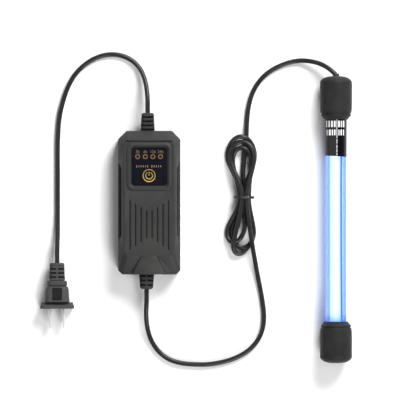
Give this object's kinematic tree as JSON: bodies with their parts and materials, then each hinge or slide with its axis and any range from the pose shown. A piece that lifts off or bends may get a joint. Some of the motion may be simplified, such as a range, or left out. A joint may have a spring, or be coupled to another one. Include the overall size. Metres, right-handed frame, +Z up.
{
  "type": "uv clarifier lamp",
  "caption": "Submersible ultraviolet lamp in a quartz sleeve with rubber end caps, its cord in a tied hank, a timer ballast box with a power button, and a mains cord with a two-blade plug.",
  "frame": {"origin": "centre of the control box's underside, on the surface that the set lies on", "axes": "+X from the control box towards the lamp, +Y along the box and the lamp towards their mains and cord ends, +Z up from the surface, out of the box's front"},
  "size_m": [0.2956, 0.299, 0.032],
  "materials": {
    "case_plastic": "fine moulded texture",
    "panel_plastic": "gloss",
    "clear_plastic": "translucent amber",
    "button_plastic": "gloss",
    "dark_plastic": "moulded",
    "screw_steel": "zinc plated",
    "lead_metal": "tinned",
    "pcb_green": "solder mask",
    "pcb_brown": "paper laminate",
    "led_white": "diffused",
    "fuse_ceramic": "matte",
    "copper_winding": "enamelled",
    "diode_epoxy": "moulded",
    "capacitor_sleeve": "shrink sleeve",
    "relay_blue": "moulded",
    "film_red": "dipped",
    "ferrite": "sintered",
    "resistor_body": "lacquered",
    "brown_insulation": "satin",
    "blue_insulation": "satin",
    "splice_red": "shrink tube",
    "relief_rubber": "satin",
    "cap_rubber": "fine matte texture",
    "cord_rubber": "satin",
    "plug_pvc": "satin",
    "tie_plastic": "satin",
    "blade_metal": "nickel plated",
    "bung_silicone": "satin",
    "spacer_silicone": "satin",
    "quartz": "clear, tinted blue by the lit lamp",
    "lit_tube": "lit",
    "label_film": "shrink film",
    "base_ceramic": "matte",
    "pin_brass": "satin",
    "filament_metal": "satin"
  },
  "bodies": {
    "set": {"case_base": "case_plastic", "case_top": "case_plastic", "case_screws": "screw_steel", "control_panel": "panel_plastic", "light_guide": "clear_plastic", "tact_switch": "dark_plastic", "timer_board": "pcb_green", "timer_board_screws": "screw_steel", "timer_leds": "led_white", "timer_chip": "dark_plastic", "board_header": "dark_plastic", "main_board": "pcb_brown", "main_board_screws": "screw_steel", "line_fuse": "fuse_ceramic", "emi_choke": "copper_winding", "rectifier_diodes": "diode_epoxy", "bulk_capacitor": "capacitor_sleeve", "timer_relay": "relay_blue", "film_capacitors": "film_red", "switching_transistors": "diode_epoxy", "inductor_core": "ferrite", "inductor_winding": "copper_winding", "resistors": "resistor_body", "mains_leads": "brown_insulation", "lamp_leads": "blue_insulation", "mains_strain_relief": "relief_rubber", "lamp_strain_relief": "relief_rubber", "upper_cap": "cap_rubber", "cable_gland": "relief_rubber", "sealing_bung": "bung_silicone", "lead_cores": "brown_insulation", "wire_splice": "splice_red", "quartz_sleeve": "quartz", "label_wrap": "label_film", "upper_spacer_ring": "spacer_silicone", "lower_spacer_ring": "spacer_silicone", "uv_tube": "lit_tube", "upper_lamp_base": "base_ceramic", "lower_lamp_base": "base_ceramic", "lamp_pins": "pin_brass", "filaments": "filament_metal", "return_wire": "blue_insulation", "lower_cap": "cap_rubber", "mains_cord": "cord_rubber", "plug_body": "plug_pvc", "plug_blades": "blade_metal", "lamp_cord_lower": "cord_rubber", "cord_hank": "cord_rubber", "hank_tie": "tie_plastic", "lamp_cord_upper": "cord_rubber"},
    "power_button": {"power_button": "button_plastic", "switch_plunger": "lead_metal"}
  },
  "joints": [
    {"name": "button_press", "type": "slide", "parent": "set", "child": "power_button", "axis": [0, 0, -1], "range_m": [0, 0.0005], "stiffness_N_per_m": 2500}
  ]
}
